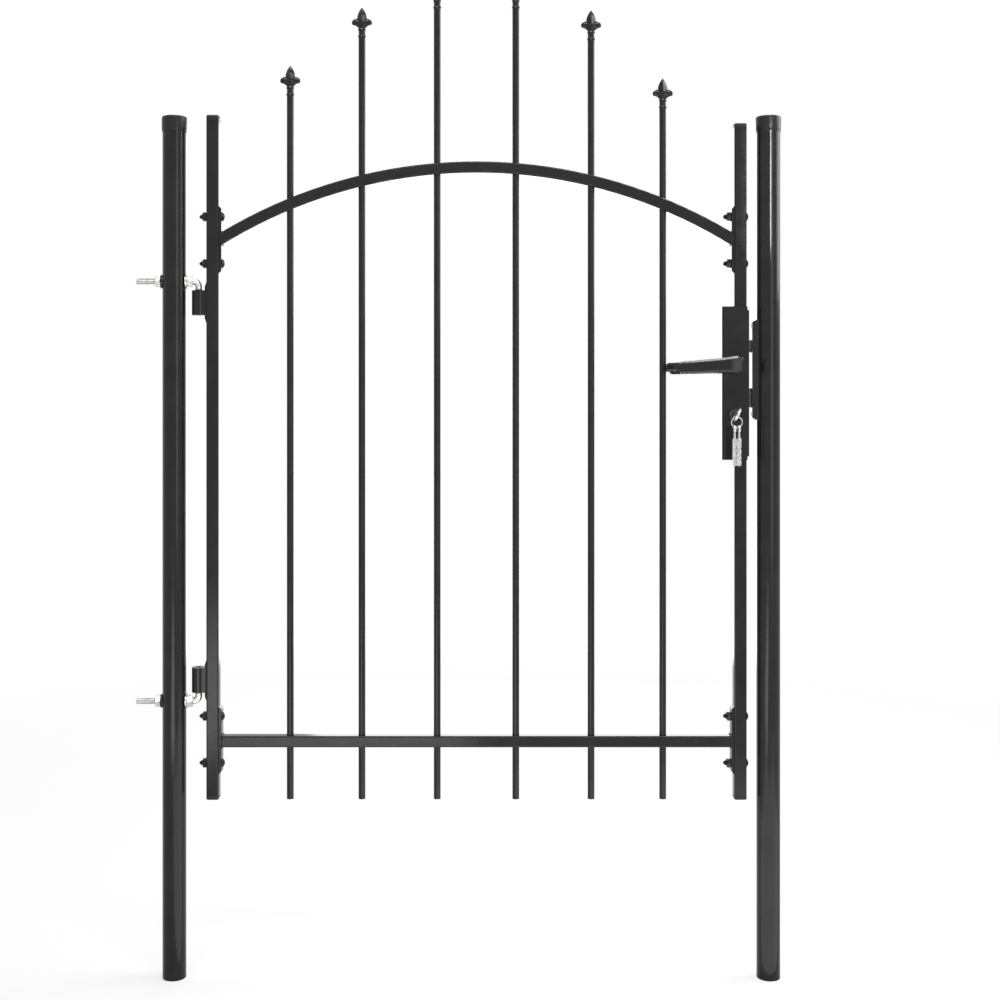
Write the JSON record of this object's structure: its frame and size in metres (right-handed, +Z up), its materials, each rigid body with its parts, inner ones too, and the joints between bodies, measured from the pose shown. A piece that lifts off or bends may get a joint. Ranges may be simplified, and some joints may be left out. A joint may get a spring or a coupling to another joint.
{
  "type": "arched single-leaf garden gate with two posts",
  "caption": "Powder-coated steel garden gate: arched leaf of square tube and round pickets with spear finials, hung on hook bolts between round posts, with a lever lock.",
  "frame": {"origin": "centre of the hinge post's foot, where it stands in or on the ground", "axes": "+X from the hinge post to the latch post, +Z up, and -Y towards the front, where the key is and to which the leaf opens"},
  "size_m": [0.9368, 0.107, 1.449],
  "materials": {
    "black_coat": "satin",
    "black_plastic": "matte",
    "zinc_plate": "satin",
    "bright_steel": "gloss",
    "bolt_steel": "satin"
  },
  "bodies": {
    "posts": {"hinge_post": "black_coat", "latch_post": "black_coat", "hinge_post_cap": "black_plastic", "latch_post_cap": "black_plastic", "lower_hinge_hook": "zinc_plate", "upper_hinge_hook": "zinc_plate", "hinge_saddles": "black_plastic", "hinge_washers": "zinc_plate", "hinge_nuts": "zinc_plate", "strike_plate": "black_coat", "strike_screws": "black_coat"},
    "leaf": {"hinge_stile": "black_coat", "lock_stile_upper": "black_coat", "lock_stile_lower": "black_coat", "stile_plugs": "black_plastic", "arch_rail": "black_coat", "bottom_rail": "black_coat", "arch_end_plates": "black_coat", "bottom_end_plates": "black_coat", "picket_1": "black_coat", "picket_2": "black_coat", "picket_3": "black_coat", "picket_4": "black_coat", "picket_5": "black_coat", "picket_6": "black_coat", "finial_1": "black_coat", "finial_2": "black_coat", "finial_3": "black_coat", "finial_4": "black_coat", "finial_5": "black_coat", "finial_6": "black_coat", "rail_bolts": "black_coat", "rail_nuts": "black_coat", "lower_hinge_sleeve": "black_coat", "upper_hinge_sleeve": "black_coat", "lock_case": "black_coat", "lock_faceplate": "black_coat", "lever_roses": "black_coat", "lock_cylinder": "bolt_steel", "cylinder_rings": "black_coat", "key": "bright_steel", "key_ring": "bright_steel", "spare_keys": "bright_steel"},
    "lever": {"front_lever": "black_coat", "rear_lever": "black_coat", "lever_spindle": "zinc_plate"},
    "latch": {"latch_bolt": "bolt_steel"},
    "deadbolt": {"deadbolt": "bolt_steel"}
  },
  "joints": [
    {"name": "gate_swing", "type": "hinge", "parent": "posts", "child": "leaf", "pos_m": [0.0355, 0, 0.401], "axis": [0, 0, -1], "range_deg": [0, 100]},
    {"name": "lever_turn", "type": "hinge", "parent": "leaf", "child": "lever", "pos_m": [0.81125, 0, 0.888], "axis": [0, -1, 0], "range_deg": [0, 40], "stiffness_Nm_per_rad": 1.2, "springref_deg": -40.11},
    {"name": "latch_slide", "type": "slide", "parent": "leaf", "child": "latch", "axis": [1, 0, 0], "range_m": [-0.005, 0]},
    {"name": "deadbolt_slide", "type": "slide", "parent": "leaf", "child": "deadbolt", "axis": [1, 0, 0], "range_m": [-0.005, 0.014]}
  ],
  "couplings": [
    {"joint": "latch_slide", "follows": "lever_turn", "m_per_rad": -0.00716}
  ]
}
